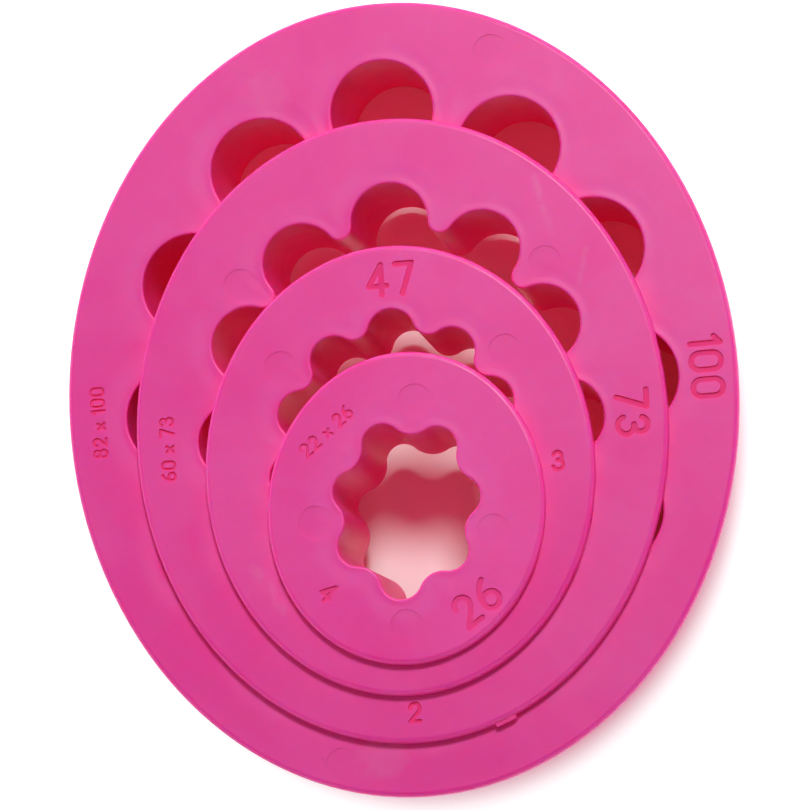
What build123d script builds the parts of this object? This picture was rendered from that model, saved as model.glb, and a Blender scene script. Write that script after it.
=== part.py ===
from build123d import *
import math
import os

os.makedirs("parts", exist_ok=True)

# A nest of four oval scalloped pastry cutters, each moulded in one piece: a flat oval flange
# to press on, and under it a scalloped wall that ends in a thin cutting edge.
# Row frame, millimetres: origin on the table, under the middle of the largest flange;
# +Y along the largest flange's long axis, +Z up. The largest cutter stands on its cutting
# edge, and each smaller cutter hangs by its flange on the flange below it.

# ---- dimensions shared by all four cutters
HEIGHT = 22.0            # cutting edge to the flange's top face
FLANGE_T = 2.0           # thickness of the flange, and so the step between two stacked flanges
WALL_ROOT = 1.10         # wall thickness just under the flange
BEVEL_H = 2.6            # height of the sharpened part of the wall
DRAFT = 1.5              # degrees, draft of the wall's outer face
INNER_DRAFT = 1.2        # degrees, draft of the opening, which narrows towards the cutting edge
EDGE_T = 0.45            # width of the flat land left on the cutting edge
RIM_TOP_R = 0.70         # rounding of the flange's outer edge, top side
RIM_LOW_R = 0.30         # rounding of the flange's outer edge, underside
MOUTH_R = 0.30           # rounding of the opening's top edge
ROOT_R = 0.40            # fillet between the wall and the flange's underside
PIN_R = 2.45             # ejector pin mark
PIN_DEPTH = 0.12
NUMBER_H = 4.4           # height of the sunk size number on the flange
NUMBER_W = 0.85          # width of its strokes
NOTE_H = 1.9             # height of the small sunk width x length
NOTE_W = 0.42
PLACE_H = 2.6            # height of the sunk number of the cutter in the set
PLACE_W = 0.60
NUMBER_DEPTH = 0.35      # how far they are all sunk

WALL_LOW = WALL_ROOT - (HEIGHT - FLANGE_T - BEVEL_H) * math.tan(math.radians(DRAFT))
EDGE_IN = HEIGHT * math.tan(math.radians(INNER_DRAFT))     # how far the edge lies inside the opening's rim, in plan
BEVEL_ANGLE = math.degrees(math.atan((WALL_LOW + EDGE_IN - EDGE_T) / BEVEL_H))

# ---- the figures sunk in the flanges, drawn in a box 1 high: each is its width and its strokes,
# two points for a straight stroke and three for an arc
FIGURES = {
    "0": (0.56, [((0, 0.28), (0, 0.72)), ((0.56, 0.28), (0.56, 0.72)), ((0, 0.72), (0.28, 1), (0.56, 0.72)), ((0, 0.28), (0.28, 0), (0.56, 0.28))]),
    "1": (0.22, [((0, 0.80), (0.22, 1)), ((0.22, 1), (0.22, 0))]),
    "2": (0.56, [((0.02, 0.74), (0.28, 1), (0.55, 0.73)), ((0.55, 0.73), (0.50, 0.56), (0.40, 0.43)), ((0.40, 0.43), (0, 0)), ((0, 0), (0.56, 0))]),
    "3": (0.56, [((0.03, 0.82), (0.28, 1), (0.51, 0.77)), ((0.51, 0.77), (0.44, 0.60), (0.25, 0.54)), ((0.25, 0.54), (0.48, 0.46), (0.56, 0.28)), ((0.56, 0.28), (0.28, 0), (0, 0.19))]),
    "4": (0.60, [((0.43, 0), (0.43, 1)), ((0.43, 1), (0, 0.29)), ((0, 0.29), (0.60, 0.29))]),
    "6": (0.56, [((0, 0.28), (0.28, 0), (0.56, 0.28)), ((0, 0.28), (0.28, 0.56), (0.56, 0.28)), ((0, 0.28), (0.10, 0.70), (0.42, 1))]),
    "7": (0.56, [((0, 1), (0.56, 1)), ((0.56, 1), (0.20, 0))]),
    "8": (0.56, [((0.04, 0.76), (0.28, 1), (0.52, 0.76)), ((0.04, 0.76), (0.28, 0.54), (0.52, 0.76)), ((0, 0.27), (0.28, 0), (0.56, 0.27)), ((0, 0.27), (0.28, 0.54), (0.56, 0.27))]),
    "x": (0.44, [((0, 0.06), (0.44, 0.58)), ((0, 0.58), (0.44, 0.06))]),
    " ": (0.12, []),
}
FIGURE_GAP = 0.32

# ---- each cutter: flange half axes, ring of petal centres (half axes, number, where the first
# one stands), petal radius, radius of the tongue between two petals, its place in the nest, and
# its sunk figures: the opening's length, its width x length, and the cutter's number in the set,
# each with its middle, the angle that it reads at, its height and the width of its strokes
XL = dict(flange=(49.56, 58.67), ring=(33.28, 42.50), petals=12, first=90.0, petal_r=7.60, tongue_r=2.28,
          at=(0.0, 0.0), turn=0.0, pins=[(16.7, 50.0), (-12.4, -53.1)],
          figures=[("100", (45.1, 0.6), -90, NUMBER_H, NUMBER_W), ("82 x 100", (-45.1, 0.1), 90, NOTE_H, NOTE_W)])
LG = dict(flange=(39.26, 45.98), ring=(24.28, 30.71), petals=12, first=90.0, petal_r=5.69, tongue_r=1.80,
          at=(-0.16, -4.93), turn=-0.8, pins=[(22.6, 22.9), (-22.6, 22.9), (22.6, -22.9), (-22.6, -22.9)],
          figures=[("73", (34.1, 0.0), -90, NUMBER_H, NUMBER_W), ("60 x 73", (-34.6, -0.5), 90, NOTE_H, NOTE_W),
                   ("2", (-0.2, -41.6), 0, PLACE_H, PLACE_W)],
          gate=(12.9, 3.2, 0.5))
MD = dict(flange=(28.67, 33.02), ring=(15.60, 20.14), petals=12, first=90.0, petal_r=3.51, tongue_r=2.39,
          at=(-0.54, -11.07), turn=-0.6, pins=[(16.6, 16.2), (-16.6, 16.2), (16.6, -16.2), (-16.6, -16.2)],
          figures=[("47", (0.4, 28.0), 0, NUMBER_H, NUMBER_W), ("3", (23.4, -0.5), 0, PLACE_H, PLACE_W)])
SM = dict(flange=(20.38, 22.87), ring=(8.01, 10.42), petals=7, first=-90.0, petal_r=3.02, tongue_r=3.68,
          at=(0.30, -16.96), turn=-7.4, pins=[(0.4, 15.7), (-13.1, -2.8), (13.1, -2.8), (1.2, -17.3)],
          figures=[("26", (11.3, -13.4), 42, NUMBER_H, NUMBER_W), ("22 x 26", (-12.3, 10.6), 46, NOTE_H, NOTE_W),
                   ("4", (-10.6, -12.9), -39, PLACE_H, PLACE_W)])


def ring_points(half_x, half_y, count, first):
    """Points on an ellipse, counter-clockwise from the angle first, all the same chord apart."""

    def at(t):
        return Vector(half_x * math.cos(t), half_y * math.sin(t))

    def step(t, chord):
        low, high = 0.0, 1.8
        for _ in range(50):
            mid = (low + high) / 2
            if (at(t + mid) - at(t)).length < chord:
                low = mid
            else:
                high = mid
        return t + low

    start = math.radians(first)
    low, high = 0.1 * half_x, 2.0 * half_x
    for _ in range(50):
        chord = (low + high) / 2
        t = start
        for _ in range(count):
            t = step(t, chord)
        if t < start + 2 * math.pi:
            low = chord
        else:
            high = chord
    places, t = [], start
    for _ in range(count):
        places.append(at(t))
        t = step(t, low)
    return places


def scallop(cutter, grow):
    """The scalloped outline, grown outwards by grow: petal arcs joined by tangent tongue arcs."""
    centres = ring_points(*cutter["ring"], cutter["petals"], cutter["first"])
    petal_r, tongue_r = cutter["petal_r"] + grow, cutter["tongue_r"] - grow
    reach = petal_r + tongue_r
    count = len(centres)
    tongues = []
    for i, here in enumerate(centres):
        there = centres[(i + 1) % count]
        along = there - here
        outward = Vector(along.Y, -along.X).normalized()
        height = math.sqrt(reach**2 - (along.length / 2) ** 2)
        tongues.append((here + there) * 0.5 + outward * height)
    for i, here in enumerate(centres):
        before, after = tongues[i - 1], tongues[i]
        there = centres[(i + 1) % count]
        a0 = math.atan2((before - here).Y, (before - here).X)
        span = (math.atan2((after - here).Y, (after - here).X) - a0) % (2 * math.pi)
        top = here + Vector(math.cos(a0 + span / 2), math.sin(a0 + span / 2)) * petal_r
        start = here + (before - here).normalized() * petal_r
        end = here + (after - here).normalized() * petal_r
        ThreePointArc(start, top, end)
        tip = after + ((here + there) * 0.5 - after).normalized() * tongue_r
        ThreePointArc(end, tip, there + (after - there).normalized() * petal_r)


def figures(text, height, width):
    """A row of figures in round-ended strokes, its middle where it is placed."""
    row = [FIGURES[mark] for mark in text]
    x = -(sum(wide for wide, _ in row) + FIGURE_GAP * (len(row) - 1)) / 2
    for wide, strokes in row:
        for stroke in strokes:
            points = [Vector((x + px) * height, (py - 0.5) * height) for px, py in stroke]
            if len(points) == 2:
                run = points[1] - points[0]
                with Locations((points[0] + points[1]) * 0.5):
                    SlotCenterToCenter(run.length, width, rotation=math.degrees(math.atan2(run.Y, run.X)))
            else:
                SlotArc(Edge.make_three_point_arc(*points), width)
        x += wide + FIGURE_GAP


def base(cutter, level):
    """The plane of one cutter's cutting edge, at its place in the nest."""
    x, y = cutter["at"]
    turn = math.radians(cutter["turn"])
    return Plane(origin=(x, y, level * FLANGE_T), x_dir=(math.cos(turn), math.sin(turn), 0), z_dir=(0, 0, 1))


# ---- the largest cutter, which stands on the table
with BuildPart() as cutter_extra_large:
    ground = base(XL, 0)
    with BuildSketch(ground.offset(HEIGHT - FLANGE_T)):
        Ellipse(*XL["flange"])
    extrude(amount=FLANGE_T)
    fillet(cutter_extra_large.faces().sort_by(Axis.Z)[-1].edges(), radius=RIM_TOP_R)
    fillet(cutter_extra_large.faces().sort_by(Axis.Z)[0].edges(), radius=RIM_LOW_R)
    with BuildSketch(ground.offset(HEIGHT - FLANGE_T)):
        with BuildLine():
            scallop(XL, WALL_ROOT)
        make_face()
    extrude(amount=-(HEIGHT - FLANGE_T - BEVEL_H), taper=DRAFT)
    underside = cutter_extra_large.faces().filter_by(Axis.Z).sort_by(Axis.Z)[-2]
    fillet(underside.inner_wires()[0].edges(), radius=ROOT_R)
    with BuildSketch(ground.offset(BEVEL_H)):
        with BuildLine():
            scallop(XL, WALL_LOW)
        make_face()
    extrude(amount=-BEVEL_H, taper=BEVEL_ANGLE)
    with BuildSketch(ground.offset(HEIGHT)):
        with BuildLine():
            scallop(XL, 0.0)
        make_face()
    extrude(amount=-HEIGHT, taper=INNER_DRAFT, mode=Mode.SUBTRACT)
    fillet(cutter_extra_large.faces().sort_by(Axis.Z)[-1].inner_wires()[0].edges(), radius=MOUTH_R)
    with BuildSketch(ground.offset(HEIGHT)):
        with Locations(*XL["pins"]):
            Circle(PIN_R)
    extrude(amount=-PIN_DEPTH, mode=Mode.SUBTRACT)
    with BuildSketch(ground.offset(HEIGHT)):
        for text, middle, angle, high, wide in XL["figures"]:
            with Locations(Location((*middle, 0), (0, 0, angle))):
                figures(text, high, wide)
    extrude(amount=-NUMBER_DEPTH, mode=Mode.SUBTRACT)

cutter_extra_large.part.label = "cutter_extra_large"
export_step(cutter_extra_large.part, "parts/cutter_extra_large.step")

# ---- the second cutter, one flange higher
with BuildPart() as cutter_large:
    ground = base(LG, 1)
    with BuildSketch(ground.offset(HEIGHT - FLANGE_T)):
        Ellipse(*LG["flange"])
    extrude(amount=FLANGE_T)
    fillet(cutter_large.faces().sort_by(Axis.Z)[-1].edges(), radius=RIM_TOP_R)
    fillet(cutter_large.faces().sort_by(Axis.Z)[0].edges(), radius=RIM_LOW_R)
    with BuildSketch(ground.offset(HEIGHT - FLANGE_T)):
        with BuildLine():
            scallop(LG, WALL_ROOT)
        make_face()
    extrude(amount=-(HEIGHT - FLANGE_T - BEVEL_H), taper=DRAFT)
    underside = cutter_large.faces().filter_by(Axis.Z).sort_by(Axis.Z)[-2]
    fillet(underside.inner_wires()[0].edges(), radius=ROOT_R)
    with BuildSketch(ground.offset(BEVEL_H)):
        with BuildLine():
            scallop(LG, WALL_LOW)
        make_face()
    extrude(amount=-BEVEL_H, taper=BEVEL_ANGLE)
    with BuildSketch(ground.offset(HEIGHT)):
        with BuildLine():
            scallop(LG, 0.0)
        make_face()
    extrude(amount=-HEIGHT, taper=INNER_DRAFT, mode=Mode.SUBTRACT)
    fillet(cutter_large.faces().sort_by(Axis.Z)[-1].inner_wires()[0].edges(), radius=MOUTH_R)
    with BuildSketch(ground.offset(HEIGHT)):
        with Locations(*LG["pins"]):
            Circle(PIN_R)
    extrude(amount=-PIN_DEPTH, mode=Mode.SUBTRACT)
    with BuildSketch(ground.offset(HEIGHT)):
        for text, middle, angle, high, wide in LG["figures"]:
            with Locations(Location((*middle, 0), (0, 0, angle))):
                figures(text, high, wide)
    extrude(amount=-NUMBER_DEPTH, mode=Mode.SUBTRACT)
    # what is left of the moulding gate, on the rim: it stands proud by a little
    gate_x, gate_long, gate_proud = LG["gate"]
    rim_x, rim_y = LG["flange"]
    gate_y = -rim_y * math.sqrt(1 - (gate_x / rim_x) ** 2)
    gate_angle = math.degrees(math.atan2(-rim_y**2 * gate_x, rim_x**2 * gate_y)) + 180
    with BuildSketch(ground.offset(HEIGHT - FLANGE_T + 0.45)):
        with Locations(Location((gate_x, gate_y, 0), (0, 0, gate_angle))):
            RectangleRounded(gate_long, 2 * gate_proud, 0.2)
    extrude(amount=1.0)

cutter_large.part.label = "cutter_large"
export_step(cutter_large.part, "parts/cutter_large.step")

# ---- the third cutter, two flanges higher
with BuildPart() as cutter_medium:
    ground = base(MD, 2)
    with BuildSketch(ground.offset(HEIGHT - FLANGE_T)):
        Ellipse(*MD["flange"])
    extrude(amount=FLANGE_T)
    fillet(cutter_medium.faces().sort_by(Axis.Z)[-1].edges(), radius=RIM_TOP_R)
    fillet(cutter_medium.faces().sort_by(Axis.Z)[0].edges(), radius=RIM_LOW_R)
    with BuildSketch(ground.offset(HEIGHT - FLANGE_T)):
        with BuildLine():
            scallop(MD, WALL_ROOT)
        make_face()
    extrude(amount=-(HEIGHT - FLANGE_T - BEVEL_H), taper=DRAFT)
    underside = cutter_medium.faces().filter_by(Axis.Z).sort_by(Axis.Z)[-2]
    fillet(underside.inner_wires()[0].edges(), radius=ROOT_R)
    with BuildSketch(ground.offset(BEVEL_H)):
        with BuildLine():
            scallop(MD, WALL_LOW)
        make_face()
    extrude(amount=-BEVEL_H, taper=BEVEL_ANGLE)
    with BuildSketch(ground.offset(HEIGHT)):
        with BuildLine():
            scallop(MD, 0.0)
        make_face()
    extrude(amount=-HEIGHT, taper=INNER_DRAFT, mode=Mode.SUBTRACT)
    fillet(cutter_medium.faces().sort_by(Axis.Z)[-1].inner_wires()[0].edges(), radius=MOUTH_R)
    with BuildSketch(ground.offset(HEIGHT)):
        with Locations(*MD["pins"]):
            Circle(PIN_R)
    extrude(amount=-PIN_DEPTH, mode=Mode.SUBTRACT)
    with BuildSketch(ground.offset(HEIGHT)):
        for text, middle, angle, high, wide in MD["figures"]:
            with Locations(Location((*middle, 0), (0, 0, angle))):
                figures(text, high, wide)
    extrude(amount=-NUMBER_DEPTH, mode=Mode.SUBTRACT)

cutter_medium.part.label = "cutter_medium"
export_step(cutter_medium.part, "parts/cutter_medium.step")

# ---- the smallest cutter, on top of the nest
with BuildPart() as cutter_small:
    ground = base(SM, 3)
    with BuildSketch(ground.offset(HEIGHT - FLANGE_T)):
        Ellipse(*SM["flange"])
    extrude(amount=FLANGE_T)
    fillet(cutter_small.faces().sort_by(Axis.Z)[-1].edges(), radius=RIM_TOP_R)
    fillet(cutter_small.faces().sort_by(Axis.Z)[0].edges(), radius=RIM_LOW_R)
    with BuildSketch(ground.offset(HEIGHT - FLANGE_T)):
        with BuildLine():
            scallop(SM, WALL_ROOT)
        make_face()
    extrude(amount=-(HEIGHT - FLANGE_T - BEVEL_H), taper=DRAFT)
    underside = cutter_small.faces().filter_by(Axis.Z).sort_by(Axis.Z)[-2]
    fillet(underside.inner_wires()[0].edges(), radius=ROOT_R)
    with BuildSketch(ground.offset(BEVEL_H)):
        with BuildLine():
            scallop(SM, WALL_LOW)
        make_face()
    extrude(amount=-BEVEL_H, taper=BEVEL_ANGLE)
    with BuildSketch(ground.offset(HEIGHT)):
        with BuildLine():
            scallop(SM, 0.0)
        make_face()
    extrude(amount=-HEIGHT, taper=INNER_DRAFT, mode=Mode.SUBTRACT)
    fillet(cutter_small.faces().sort_by(Axis.Z)[-1].inner_wires()[0].edges(), radius=MOUTH_R)
    with BuildSketch(ground.offset(HEIGHT)):
        with Locations(*SM["pins"]):
            Circle(PIN_R)
    extrude(amount=-PIN_DEPTH, mode=Mode.SUBTRACT)
    with BuildSketch(ground.offset(HEIGHT)):
        for text, middle, angle, high, wide in SM["figures"]:
            with Locations(Location((*middle, 0), (0, 0, angle))):
                figures(text, high, wide)
    extrude(amount=-NUMBER_DEPTH, mode=Mode.SUBTRACT)

cutter_small.part.label = "cutter_small"
export_step(cutter_small.part, "parts/cutter_small.step")
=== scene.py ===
import math

import bpy
from mathutils import Matrix, Vector

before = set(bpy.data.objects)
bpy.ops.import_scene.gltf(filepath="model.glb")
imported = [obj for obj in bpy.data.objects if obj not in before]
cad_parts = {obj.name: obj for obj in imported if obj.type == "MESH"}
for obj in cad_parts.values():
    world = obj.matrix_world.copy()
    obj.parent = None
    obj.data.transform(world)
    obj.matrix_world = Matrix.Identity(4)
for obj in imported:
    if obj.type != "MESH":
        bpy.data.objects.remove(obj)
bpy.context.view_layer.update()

MM = 0.001

# ------------------------------------------------------------------ the four cutters
# middle of the opening, turn in degrees, half axes of the ring of petal centres, how many petals,
# angle of the first one, petal radius, height of the flange's top face; millimetres
CUTTERS = {
    "cutter_extra_large": dict(at=(0.0, 0.0), turn=0.0, ring=(33.28, 42.50), petals=12, first=90.0, petal_r=7.60, top=22.0),
    "cutter_large": dict(at=(-0.16, -4.93), turn=-0.8, ring=(24.28, 30.71), petals=12, first=90.0, petal_r=5.69, top=24.0),
    "cutter_medium": dict(at=(-0.54, -11.07), turn=-0.6, ring=(15.60, 20.14), petals=12, first=90.0, petal_r=3.51, top=26.0),
    "cutter_small": dict(at=(0.30, -16.96), turn=-7.4, ring=(8.01, 10.42), petals=7, first=-90.0, petal_r=3.02, top=28.0),
}


def ring_points(half_x, half_y, count, first):
    """Points on an ellipse, counter-clockwise from the angle first, all the same chord apart."""

    def at(t):
        return Vector((half_x * math.cos(t), half_y * math.sin(t)))

    def step(t, chord):
        low, high = 0.0, 1.8
        for _ in range(50):
            mid = (low + high) / 2
            if (at(t + mid) - at(t)).length < chord:
                low = mid
            else:
                high = mid
        return t + low

    start = math.radians(first)
    low, high = 0.1 * half_x, 2.0 * half_x
    for _ in range(50):
        chord = (low + high) / 2
        t = start
        for _ in range(count):
            t = step(t, chord)
        if t < start + 2 * math.pi:
            low = chord
        else:
            high = chord
    places, t = [], start
    for _ in range(count):
        places.append(at(t))
        t = step(t, low)
    return places


def petal_centres(cutter):
    """Petal centres in the row frame, in metres."""
    turn = math.radians(cutter["turn"])
    out = []
    for p in ring_points(*cutter["ring"], cutter["petals"], cutter["first"]):
        x = p.x * math.cos(turn) - p.y * math.sin(turn) + cutter["at"][0]
        y = p.x * math.sin(turn) + p.y * math.cos(turn) + cutter["at"][1]
        out.append((x * MM, y * MM))
    return out


def place(cutter, x, y):
    """A point of one cutter's own frame (millimetres) in the row frame, metres."""
    turn = math.radians(cutter["turn"])
    return (
        (x * math.cos(turn) - y * math.sin(turn) + cutter["at"][0]) * MM,
        (x * math.sin(turn) + y * math.cos(turn) + cutter["at"][1]) * MM,
    )


# ------------------------------------------------------------------ node helpers
class Net:
    def __init__(self, name):
        self.mat = bpy.data.materials.new(name)
        self.mat.use_nodes = True
        self.tree = self.mat.node_tree
        self.tree.nodes.clear()
        self.out = self.tree.nodes.new("ShaderNodeOutputMaterial")
        self.bsdf = self.tree.nodes.new("ShaderNodeBsdfPrincipled")
        self.tree.links.new(self.bsdf.outputs["BSDF"], self.out.inputs["Surface"])

    def node(self, kind, **props):
        n = self.tree.nodes.new(kind)
        for k, v in props.items():
            setattr(n, k, v)
        return n

    def link(self, a, b):
        self.tree.links.new(a, b)

    def put(self, socket, value):
        if isinstance(value, bpy.types.NodeSocket):
            self.link(value, socket)
        else:
            socket.default_value = value

    def math(self, op, a, b=None, c=None, clamp=False):
        n = self.node("ShaderNodeMath", operation=op, use_clamp=clamp)
        self.put(n.inputs[0], a)
        if b is not None:
            self.put(n.inputs[1], b)
        if c is not None:
            self.put(n.inputs[2], c)
        return n.outputs[0]

    def vmath(self, op, a, b=None, scale=None):
        n = self.node("ShaderNodeVectorMath", operation=op)
        self.put(n.inputs[0], a)
        if b is not None:
            self.put(n.inputs[1], b)
        if scale is not None:
            self.put(n.inputs["Scale"], scale)
        return n.outputs["Value"] if op in ("LENGTH", "DISTANCE", "DOT_PRODUCT") else n.outputs["Vector"]

    def smooth(self, value, a, b, out_a=0.0, out_b=1.0):
        n = self.node("ShaderNodeMapRange", interpolation_type="SMOOTHSTEP")
        self.put(n.inputs["Value"], value)
        n.inputs["From Min"].default_value = a
        n.inputs["From Max"].default_value = b
        n.inputs["To Min"].default_value = out_a
        n.inputs["To Max"].default_value = out_b
        return n.outputs["Result"]

    def noise(self, vector, scale, detail=2.0, rough=0.5, distort=0.0):
        n = self.node("ShaderNodeTexNoise", noise_dimensions="3D")
        self.put(n.inputs["Vector"], vector)
        n.inputs["Scale"].default_value = scale
        n.inputs["Detail"].default_value = detail
        n.inputs["Roughness"].default_value = rough
        n.inputs["Distortion"].default_value = distort
        return n.outputs["Fac"]

    def mix(self, fac, a, b, blend="MIX"):
        n = self.node("ShaderNodeMix", data_type="RGBA", blend_type=blend)
        self.put(n.inputs[0], fac)
        self.put(n.inputs[6], a)
        self.put(n.inputs[7], b)
        return n.outputs[2]

    def segment(self, p, a, b, width):
        """1 on the line from a to b (metres, in plan), fading to 0 at width."""
        ax, ay = a
        dx, dy = b[0] - ax, b[1] - ay
        rel = self.vmath("SUBTRACT", p, (ax, ay, 0.0))
        t = self.math("DIVIDE", self.vmath("DOT_PRODUCT", rel, (dx, dy, 0.0)), dx * dx + dy * dy, clamp=True)
        foot = self.vmath("SCALE", (dx, dy, 0.0), scale=t)
        off = self.vmath("LENGTH", self.vmath("SUBTRACT", rel, foot))
        return self.smooth(off, width, 0.0)


PINK = (0.990, 0.042, 0.388)
PINK_LIGHT = (0.990, 0.105, 0.480)
PINK_DEEP = (0.985, 0.014, 0.330)


def cutter_plastic(name, cutter, seed, flow_and_sheen_streaks=(), sheen_patches=(), groove_shade=0.70):
    """Satin moulded plastic of one cutter: pigment mottling, flow marks, painted sheen as a paler ring round the
    opening where the flange sank over the wall, light lines (flow marks, and painted sheen where a flange warps),
    painted sheen spots, painted shade on walls, rim sides and sunk figures, and a fine moulded texture."""
    n = Net(name)
    coord = n.node("ShaderNodeTexCoord")
    p = coord.outputs["Object"]
    flat = n.vmath("MULTIPLY", p, (1.0, 1.0, 0.0))
    shifted = n.vmath("ADD", p, (seed * 0.137, seed * 0.071, seed * 0.023))

    # how far a point is from the opening's petals, in plan
    away = None
    for cx, cy in petal_centres(cutter):
        d = n.vmath("DISTANCE", flat, (cx, cy, 0.0))
        away = d if away is None else n.math("MINIMUM", away, d)
    away = n.math("SUBTRACT", away, cutter["petal_r"] * MM)

    # the top face alone
    sep = n.node("ShaderNodeSeparateXYZ")
    n.link(p, sep.inputs[0])
    top = n.smooth(sep.outputs["Z"], (cutter["top"] - 0.9) * MM, (cutter["top"] - 0.3) * MM)

    # painted sheen: a paler ring round the opening, where the flange sank over the wall
    sink_sheen_band = n.math("MULTIPLY", n.smooth(away, 0.3 * MM, 1.3 * MM), n.smooth(away, 4.6 * MM, 2.0 * MM))
    uneven = n.smooth(n.noise(shifted, 95.0, 2.0), 0.30, 0.66, 0.25, 1.0)
    sink_sheen_band = n.math("MULTIPLY", n.math("MULTIPLY", sink_sheen_band, uneven), top)

    # pigment clouds, wide and small
    wide = n.smooth(n.noise(shifted, 42.0, 3.0, 0.55, 0.6), 0.32, 0.70)
    small = n.smooth(n.noise(shifted, 260.0, 3.0, 0.6), 0.30, 0.72)
    # flow marks that run out from the opening
    around = n.node("ShaderNodeVectorMath", operation="SUBTRACT")
    n.link(flat, around.inputs[0])
    around.inputs[1].default_value = (cutter["at"][0] * MM, cutter["at"][1] * MM, 0.0)
    asep = n.node("ShaderNodeSeparateXYZ")
    n.link(around.outputs[0], asep.inputs[0])
    angle = n.math("ARCTAN2", asep.outputs["Y"], asep.outputs["X"])
    radius = n.vmath("LENGTH", around.outputs[0])
    polar = n.node("ShaderNodeCombineXYZ")
    n.link(n.math("MULTIPLY", n.math("SINE", angle), 0.022), polar.inputs[0])
    n.link(n.math("MULTIPLY", n.math("COSINE", angle), 0.022), polar.inputs[1])
    n.link(n.math("MULTIPLY", radius, 0.12), polar.inputs[2])
    flow = n.smooth(n.noise(n.vmath("ADD", polar.outputs[0], (seed * 0.2, 0.0, 0.0)), 330.0, 3.0, 0.6), 0.42, 0.74)
    flow = n.math("MULTIPLY", flow, top)

    colour = n.mix(n.math("MULTIPLY", wide, 0.40), PINK + (1,), PINK_LIGHT + (1,))
    colour = n.mix(n.math("MULTIPLY", small, 0.16), colour, PINK_DEEP + (1,))
    colour = n.mix(n.math("MULTIPLY", flow, 0.16), colour, PINK_LIGHT + (1,))
    # painted sheen: the ring round the opening made paler
    colour = n.mix(n.math("MULTIPLY", sink_sheen_band, 0.42), colour, PINK_LIGHT + (1,))
    # light lines on the top face: flow marks on the large cutter, and a painted sheen where the medium cutter's
    # flange warps slightly
    for a, b, width, strength in flow_and_sheen_streaks:
        line = n.segment(flat, place(cutter, *a), place(cutter, *b), width * MM)
        line = n.math("MULTIPLY", line, n.smooth(n.noise(shifted, 620.0, 2.0), 0.36, 0.62, 0.15, 1.0))
        colour = n.mix(n.math("MULTIPLY", n.math("MULTIPLY", line, top), strength), colour, (0.95, 0.20, 0.50, 1))
    # painted sheen: lighter spots on the top face
    for (x, y), size, strength in sheen_patches:
        px, py = place(cutter, x, y)
        wobble = n.math("MULTIPLY", n.math("SUBTRACT", small, 0.5), 0.0022)
        far = n.math("ADD", n.vmath("DISTANCE", flat, (px, py, 0.0)), wobble)
        spot = n.smooth(far, size * MM, size * 0.45 * MM)
        colour = n.mix(n.math("MULTIPLY", n.math("MULTIPLY", spot, top), strength), colour, (0.93, 0.15, 0.46, 1))
    # painted shade: the walls and the sides of the rim are made a little deeper in colour than the faces, for the
    # crimson shade in the openings and along the rims
    geo = n.node("ShaderNodeNewGeometry")
    nsep = n.node("ShaderNodeSeparateXYZ")
    n.link(geo.outputs["True Normal"], nsep.inputs[0])
    steep_painted_shade = n.smooth(n.math("ABSOLUTE", nsep.outputs["Z"]), 0.80, 0.35)
    colour = n.mix(n.math("MULTIPLY", steep_painted_shade, 0.55), colour, (0.985, 0.010, 0.270, 1))
    # the floor of the sunk figures, which the mould leaves coarser; its deeper colour is painted shade in the
    # grooves
    sunk = n.math("MULTIPLY", n.smooth(sep.outputs["Z"], (cutter["top"] - 0.20) * MM, (cutter["top"] - 0.30) * MM), n.smooth(nsep.outputs["Z"], 0.90, 0.98))
    sunk = n.math("MULTIPLY", sunk, n.smooth(sep.outputs["Z"], (cutter["top"] - 0.60) * MM, (cutter["top"] - 0.50) * MM))
    # painted shade: the floor of the sunk figures made deeper in colour
    colour = n.mix(n.math("MULTIPLY", sunk, groove_shade), colour, (0.955, 0.010, 0.215, 1))
    n.link(colour, n.bsdf.inputs["Base Color"])

    rough = n.math("ADD", n.math("MULTIPLY", small, 0.07), n.math("MULTIPLY", wide, 0.06))
    rough = n.math("ADD", rough, 0.34)
    rough = n.math("ADD", rough, n.math("MULTIPLY", sunk, 0.25))
    n.link(rough, n.bsdf.inputs["Roughness"])

    # the sunk band round the opening, the faint waviness of the face and the fine moulded texture
    sink = n.math("MULTIPLY", n.smooth(away, 0.2 * MM, 1.2 * MM), n.smooth(away, 3.4 * MM, 1.2 * MM))
    height = n.math("MULTIPLY", n.math("MULTIPLY", sink, top), -0.030)
    height = n.math("ADD", height, n.math("MULTIPLY", wide, 0.035))
    height = n.math("ADD", height, n.math("MULTIPLY", n.noise(shifted, 900.0, 3.0, 0.6), 0.010))
    height = n.math("ADD", height, n.math("MULTIPLY", n.noise(shifted, 4200.0, 2.0, 0.5), 0.0022))
    bump = n.node("ShaderNodeBump")
    bump.inputs["Strength"].default_value = 1.0
    bump.inputs["Distance"].default_value = MM
    n.link(height, bump.inputs["Height"])
    n.link(bump.outputs["Normal"], n.bsdf.inputs["Normal"])

    b = n.bsdf.inputs
    b["IOR"].default_value = 1.52
    b["Subsurface Weight"].default_value = 1.0
    b["Subsurface Radius"].default_value = (0.50, 0.11, 0.22)
    b["Subsurface Scale"].default_value = MM
    b["Coat Weight"].default_value = 0.0
    n.bsdf.subsurface_method = "RANDOM_WALK"
    return n.mat


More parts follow.
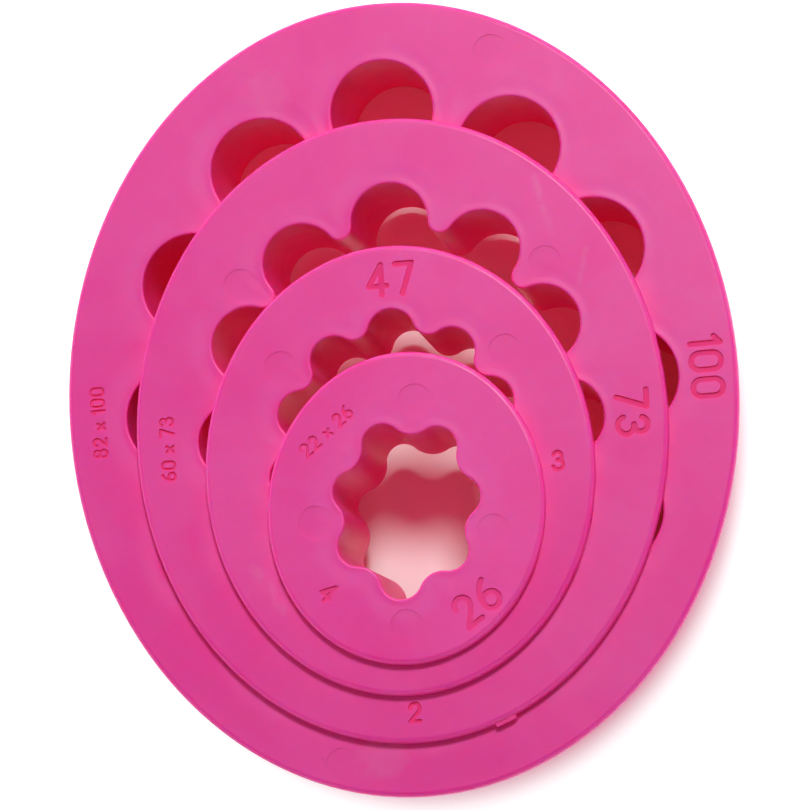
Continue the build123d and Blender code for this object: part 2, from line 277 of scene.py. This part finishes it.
LOOKS = {
    # painted sheen: lighter spots on the extra large cutter's flange
    "cutter_extra_large": dict(seed=1, sheen_patches=(((-17.0, 46.5), 4.2, 0.35), ((-6.5, -52.5), 4.5, 0.40))),
    # flow marks on the large cutter
    "cutter_large": dict(seed=2, flow_and_sheen_streaks=(((21.8, 35.7), (23.8, 27.2), 0.9, 0.36), ((28.8, 24.7), (27.2, 18.6), 0.8, 0.28))),
    # painted sheen: a light line where the medium cutter's flange warps slightly
    "cutter_medium": dict(seed=3, flow_and_sheen_streaks=(((-22.0, -13.0), (-17.8, -19.6), 1.5, 0.35),)),
    # less painted shade in the small cutter's sunk figures
    "cutter_small": dict(seed=4, groove_shade=0.42),
}
for node, look in LOOKS.items():
    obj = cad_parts[node]
    mat = cutter_plastic(node + "_plastic", CUTTERS[node], **look)
    if not obj.data.materials:
        obj.data.materials.append(mat)
    for slot in obj.material_slots:
        slot.material = mat

# ------------------------------------------------------------------ floor and light
bpy.ops.mesh.primitive_plane_add(size=6.0, location=(0, 0, 0))
floor = bpy.context.object
floor.name = "floor"
f = Net("pale_floor")
fc = f.node("ShaderNodeTexCoord")
fn = f.noise(fc.outputs["Object"], 3.0, 2.0)
f.bsdf.inputs["Roughness"].default_value = 0.9
# away from the nest the floor is lit through, like a light table, and takes less colour from the nest
# the glow fades out in a painted shade ring round the nest, shifted towards -Y where the shadow falls
shade_ring_shift = f.vmath("ADD", fc.outputs["Object"], (0.0002, 0.0009, 0.0))
reach = f.vmath("LENGTH", f.vmath("MULTIPLY", shade_ring_shift, (1 / 0.04956, 1 / 0.05867, 0.0)))
# painted light: under the nest the floor glows a dim red, in place of the light that comes through the plastic
f.link(f.mix(f.smooth(reach, 0.90, 0.95), (1.0, 0.08, 0.12, 1), (1.0, 1.0, 1.0, 1)), f.bsdf.inputs["Emission Color"])
f.link(f.smooth(reach, 0.91, 1.015, 0.06, 0.95), f.bsdf.inputs["Emission Strength"])
ground = f.mix(fn, (0.985, 0.985, 0.985, 1), (0.965, 0.965, 0.965, 1))
f.link(f.mix(f.smooth(reach, 0.92, 1.00), ground, (0.36, 0.37, 0.37, 1)), f.bsdf.inputs["Base Color"])
f.bsdf.inputs["Specular IOR Level"].default_value = 0.0
floor.data.materials.append(f.mat)

SURROUND, CEILING = 2.0, 0.16
world = bpy.data.worlds.new("studio")
bpy.context.scene.world = world
world.use_nodes = True
wt = world.node_tree
bg = wt.nodes["Background"]
bg.inputs["Color"].default_value = (1.0, 0.99, 0.985, 1)
# a low white surround that is brighter than the ceiling
wc = wt.nodes.new("ShaderNodeTexCoord")
wsep = wt.nodes.new("ShaderNodeSeparateXYZ")
wt.links.new(wc.outputs["Generated"], wsep.inputs[0])
wmap = wt.nodes.new("ShaderNodeMapRange")
wmap.interpolation_type = "SMOOTHSTEP"
wt.links.new(wsep.outputs["Z"], wmap.inputs["Value"])
wmap.inputs["From Min"].default_value = 0.10
wmap.inputs["From Max"].default_value = 0.34
wmap.inputs["To Min"].default_value = SURROUND
wmap.inputs["To Max"].default_value = CEILING
# brighter behind the nest and at its left than in front of it
wdot = wt.nodes.new("ShaderNodeVectorMath")
wdot.operation = "DOT_PRODUCT"
wt.links.new(wc.outputs["Generated"], wdot.inputs[0])
wdot.inputs[1].default_value = (-0.60, 0.80, 0.0)
wside = wt.nodes.new("ShaderNodeMapRange")
wt.links.new(wdot.outputs["Value"], wside.inputs["Value"])
wside.inputs["From Min"].default_value = -1.0
wside.inputs["From Max"].default_value = 1.0
wside.inputs["To Min"].default_value = 0.30
wside.inputs["To Max"].default_value = 1.65
wmul = wt.nodes.new("ShaderNodeMath")
wmul.operation = "MULTIPLY"
wt.links.new(wmap.outputs["Result"], wmul.inputs[0])
wt.links.new(wside.outputs["Result"], wmul.inputs[1])
wt.links.new(wmul.outputs[0], bg.inputs["Strength"])


def softbox(name, azimuth, elevation, distance, size, watts, colour=(1, 1, 1)):
    """An area light that looks at the middle of the nest; azimuth 0 is towards +Y, 90 towards +X."""
    a, e = math.radians(azimuth), math.radians(elevation)
    way = Vector((math.sin(a) * math.cos(e), math.cos(a) * math.cos(e), math.sin(e)))
    data = bpy.data.lights.new(name, "AREA")
    data.shape = "DISK"
    data.size = size
    data.energy = watts
    data.color = colour
    obj = bpy.data.objects.new(name, data)
    bpy.context.scene.collection.objects.link(obj)
    obj.location = Vector((0, 0, 0.02)) + way * distance
    obj.rotation_mode = "QUATERNION"
    obj.rotation_quaternion = way.to_track_quat("Z", "Y")
    return obj


softbox("key_softbox", 20.0, 64.0, 0.80, 0.20, 3.80)
softbox("low_fill", 150.0, 26.0, 0.90, 0.50, 0.65)

# ------------------------------------------------------------------ camera
ROLL = -0.0697
back = Vector((0.1405, -0.1310, 1.0)).normalized()
look_at = Vector((0.452, -1.220, 22.0)) * MM
base_up = Vector((0, 1, 0))
base_up = (base_up - back * base_up.dot(back)).normalized()
base_right = base_up.cross(back)
right = base_right * math.cos(ROLL) + base_up * math.sin(ROLL)
up = base_up * math.cos(ROLL) - base_right * math.sin(ROLL)
cam_data = bpy.data.cameras.new("camera")
cam = bpy.data.objects.new("camera", cam_data)
bpy.context.scene.collection.objects.link(cam)
cam.matrix_world = Matrix.Translation(look_at + back * 1.2) @ Matrix((right, up, back)).transposed().to_4x4()
cam_data.sensor_width = 36.0
cam_data.sensor_fit = "HORIZONTAL"
cam_data.lens = 8199.0 / 810.0 * 36.0
cam_data.clip_start = 0.01
cam_data.clip_end = 50.0
bpy.context.scene.camera = cam
bpy.context.scene.view_settings.view_transform = "Standard"
bpy.context.scene.view_settings.look = "None"
# light bounces many times between the bright plastic and the floor
bpy.context.scene.cycles.max_bounces = 24
bpy.context.scene.cycles.diffuse_bounces = 14
